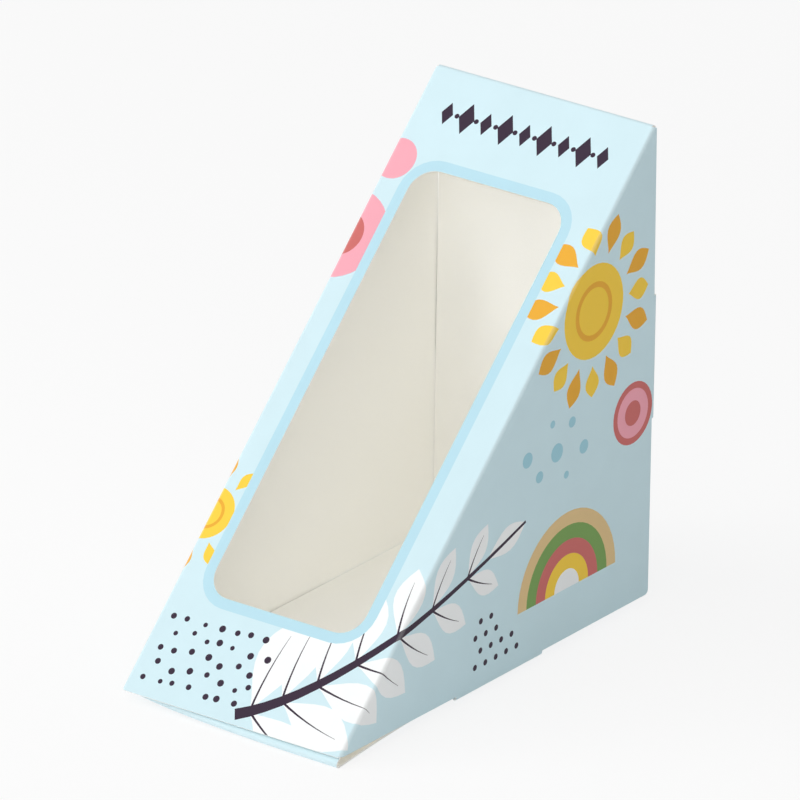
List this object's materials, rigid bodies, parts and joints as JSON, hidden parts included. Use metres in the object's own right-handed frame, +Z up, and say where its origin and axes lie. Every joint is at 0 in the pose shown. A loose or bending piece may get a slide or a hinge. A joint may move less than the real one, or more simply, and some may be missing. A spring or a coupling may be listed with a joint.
{
  "type": "sandwich wedge pack",
  "caption": "Triangular folded board pack for a cut sandwich, with a clear film window in the sloping front and tab-locked side flaps that swing open.",
  "frame": {"origin": "middle of the pack's footprint, at the lowest point it stands on", "axes": "+Z up; -Y towards the sloping window, +Y towards the upright back; X across the pack"},
  "size_m": [0.065, 0.1262, 0.1246],
  "materials": {
    "printed_board": "satin",
    "clear_film": "gloss"
  },
  "bodies": {
    "sheet": {"carton": "printed_board", "window_film": "clear_film"},
    "flap_right": {"side_flap_right": "printed_board"},
    "flap_left": {"side_flap_left": "printed_board"}
  },
  "joints": [
    {"name": "flap_right_crease", "type": "hinge", "parent": "sheet", "child": "flap_right", "pos_m": [0.0325, -0.06306, 0.00254], "axis": [0, -0.7119, -0.7022], "range_deg": [0, 120]},
    {"name": "flap_left_crease", "type": "hinge", "parent": "sheet", "child": "flap_left", "pos_m": [-0.0325, -0.06306, 0.00254], "axis": [0, 0.7119, 0.7022], "range_deg": [0, 120]}
  ]
}
